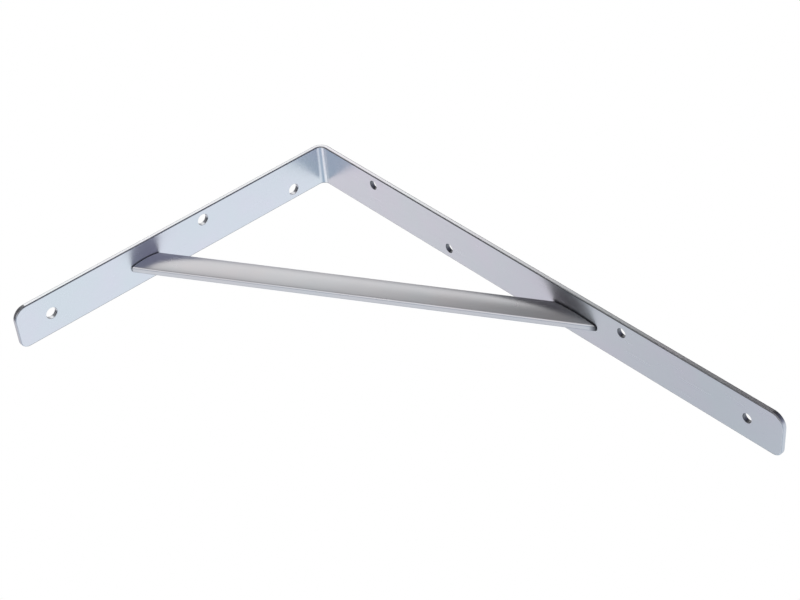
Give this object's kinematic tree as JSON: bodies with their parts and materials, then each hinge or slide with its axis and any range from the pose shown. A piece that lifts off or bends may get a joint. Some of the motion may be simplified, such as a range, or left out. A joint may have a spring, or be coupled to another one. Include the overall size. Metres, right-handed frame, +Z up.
{
  "type": "gallows shelf bracket",
  "caption": "Right-angled shelf bracket of flat zinc-plated steel strap with rounded ends and staggered screw holes, stiffened by a crowned diagonal brace.",
  "frame": {"origin": "where the wall plane meets the shelf's underside, at the middle of the strap's width", "axes": "+Z up along the wall, +Y out from the wall along the shelf arm, X across the strap; as fixed to a wall"},
  "size_m": [0.03, 0.25, 0.4],
  "materials": {
    "zinc_strap": "bright zinc plate, smooth, semi-gloss",
    "zinc_brace": "bright zinc plate, smooth, semi-gloss"
  },
  "bodies": {
    "root": {"bent_strap": "zinc_strap", "diagonal_brace": "zinc_brace"}
  },
  "joints": []
}
